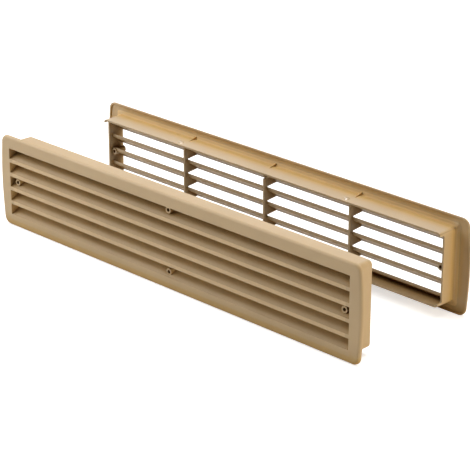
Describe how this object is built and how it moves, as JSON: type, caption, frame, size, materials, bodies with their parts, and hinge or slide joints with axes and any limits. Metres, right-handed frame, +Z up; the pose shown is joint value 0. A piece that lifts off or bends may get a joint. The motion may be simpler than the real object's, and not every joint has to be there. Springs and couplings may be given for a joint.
{
  "type": "door vent grille",
  "caption": "Long louvred door vent grille in two flanged halves whose collars slide into each other through a cut-out in the door, shown drawn apart.",
  "frame": {"origin": "middle of the plane where the outside half bears on the door, which is also where its screw bosses begin", "axes": "+X along the grille, +Z up, -Y out of the door through the outside half's face; the inside half faces +Y and stands apart behind"},
  "size_m": [0.457, 0.1415, 0.09],
  "materials": {
    "moulding": "satin beige"
  },
  "bodies": {
    "root": {"front_half": "moulding", "rear_half": "moulding"}
  },
  "joints": []
}
